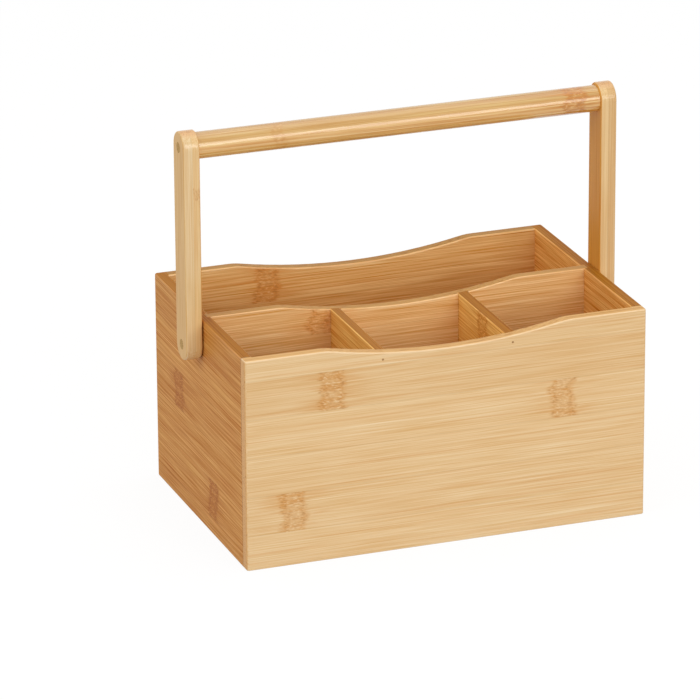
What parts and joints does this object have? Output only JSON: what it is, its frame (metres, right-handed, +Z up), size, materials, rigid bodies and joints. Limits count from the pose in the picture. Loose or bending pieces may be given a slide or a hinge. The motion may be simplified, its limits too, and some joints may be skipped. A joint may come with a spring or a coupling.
{
  "type": "utensil caddy",
  "caption": "Bamboo utensil caddy: an open box with a dipped rim, one long rear pocket and smaller front pockets, and a carry handle that swings over it on side pivots.",
  "frame": {"origin": "on the table, under the middle of the box", "axes": "+X to the right along the front, +Y from the front to the back, +Z up"},
  "size_m": [0.255, 0.155, 0.23],
  "materials": {
    "bamboo_board": "satin clear-coated bamboo board, edge-glued strips with node marks",
    "bamboo_divider": "satin clear-coated thin bamboo board",
    "bamboo_arm": "satin clear-coated pale bamboo, upright grain",
    "bamboo_bar": "satin clear-coated round bamboo bar, lengthwise streaks",
    "bamboo_plug": "bamboo end grain, sanded flush",
    "screw_steel": "zinc-plated steel",
    "brad_steel": "dull steel"
  },
  "bodies": {
    "caddy": {"front_panel": "bamboo_board", "back_panel": "bamboo_board", "left_end_panel": "bamboo_board", "right_end_panel": "bamboo_board", "base_panel": "bamboo_board", "long_divider": "bamboo_divider", "left_cross_divider": "bamboo_divider", "right_cross_divider": "bamboo_divider", "pivot_screws": "screw_steel", "front_brads": "brad_steel", "divider_brads": "brad_steel"},
    "handle": {"left_handle_arm": "bamboo_arm", "right_handle_arm": "bamboo_arm", "handle_bar": "bamboo_bar", "bar_screws": "screw_steel", "arm_plugs": "bamboo_plug"}
  },
  "joints": [
    {"name": "handle_swing", "type": "hinge", "parent": "caddy", "child": "handle", "pos_m": [0, 0, 0.107], "axis": [1, 0, 0], "range_deg": [-130, 130]}
  ]
}
